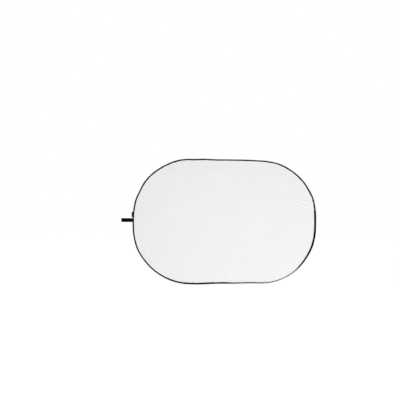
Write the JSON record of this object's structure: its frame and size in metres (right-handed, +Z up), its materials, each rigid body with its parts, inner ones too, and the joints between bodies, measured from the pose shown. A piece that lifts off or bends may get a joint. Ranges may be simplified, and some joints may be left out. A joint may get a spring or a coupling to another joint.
{
  "type": "collapsible reflector disc",
  "caption": "Rounded-oval pop-open light reflector with a sprung steel rim, a white cloth on one side, a silver cloth on the other and a webbing hang loop.",
  "frame": {"origin": "middle of the lower rim's outer edge, where a lower clip or a hand holds the upright reflector", "axes": "+X along the long axis towards the end with the hoop's joint, the strap is at -X; white cloth faces -Y, silver cloth faces +Y; +Z up, across the short axis"},
  "size_m": [1.2737, 0.0108, 0.813],
  "materials": {
    "spring_steel": "blued spring steel strip",
    "ferrule_steel": "zinc plated, crimped",
    "rivet_steel": "plain",
    "shrink_wrap": "black heat-shrink sleeve",
    "binding_tape": "black woven nylon tape",
    "closing_tape": "black grosgrain tape",
    "black_thread": "black polyester thread",
    "white_cloth": "matt white nylon",
    "silver_cloth": "silver-coated nylon, satin",
    "webbing": "black ribbed webbing",
    "label_tape": "blank black satin tape"
  },
  "bodies": {
    "left_half": {"hoop_left": "spring_steel", "binding_left": "binding_tape", "white_cloth_left": "white_cloth", "silver_cloth_left": "silver_cloth", "stitching_left": "black_thread"},
    "right_half": {"hoop_right": "spring_steel", "hoop_ferrule": "ferrule_steel", "ferrule_rivets": "rivet_steel", "ferrule_shrink_wrap": "shrink_wrap", "binding_right": "binding_tape", "closing_tape": "closing_tape", "closing_tape_stitching": "black_thread", "white_cloth_right": "white_cloth", "silver_cloth_right": "silver_cloth", "stitching_right": "black_thread"},
    "strap": {"strap_loop": "webbing", "strap_bartack": "black_thread"},
    "label": {"side_label": "label_tape"}
  },
  "joints": [
    {"name": "fold", "type": "hinge", "parent": "left_half", "child": "right_half", "pos_m": [0, -0.0048, 0.4065], "axis": [0, 0, -1], "range_deg": [0, 160], "stiffness_Nm_per_rad": 3},
    {"name": "strap_flap", "type": "hinge", "parent": "left_half", "child": "strap", "pos_m": [-0.6016, 0, 0.4105], "axis": [0, 0, 1], "range_deg": [-90, 90], "stiffness_Nm_per_rad": 0.01},
    {"name": "label_flap", "type": "hinge", "parent": "left_half", "child": "label", "pos_m": [-0.60026, 0, 0.4475], "axis": [0, 0, 1], "range_deg": [-90, 90], "stiffness_Nm_per_rad": 0.000005}
  ]
}
